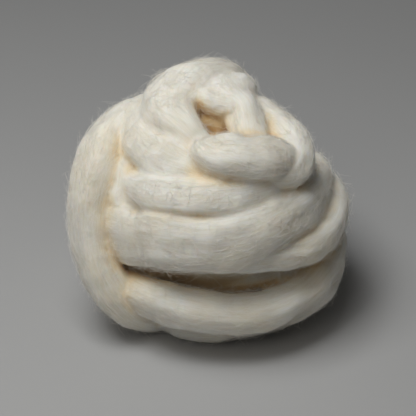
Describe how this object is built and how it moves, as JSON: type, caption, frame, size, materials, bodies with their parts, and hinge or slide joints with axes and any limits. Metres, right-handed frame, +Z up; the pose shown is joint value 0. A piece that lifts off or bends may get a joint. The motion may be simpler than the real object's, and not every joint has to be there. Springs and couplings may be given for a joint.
{
  "type": "ball of wool roving",
  "caption": "Loosely wound ball of thick undyed combed wool roving, with wide soft turns that cross over each other and a small flat spot to rest on.",
  "frame": {"origin": "on the resting surface, under the middle of the ball, on its flat spot", "axes": "+Z up, the ball's face looks along -Y and leans back, +X to the right of the face"},
  "size_m": [0.1341, 0.1308, 0.1215],
  "materials": {
    "wool": "matte, soft, combed undyed wool fibre, warm in its creases"
  },
  "bodies": {
    "root": {"roving_ball": "wool"}
  },
  "joints": []
}
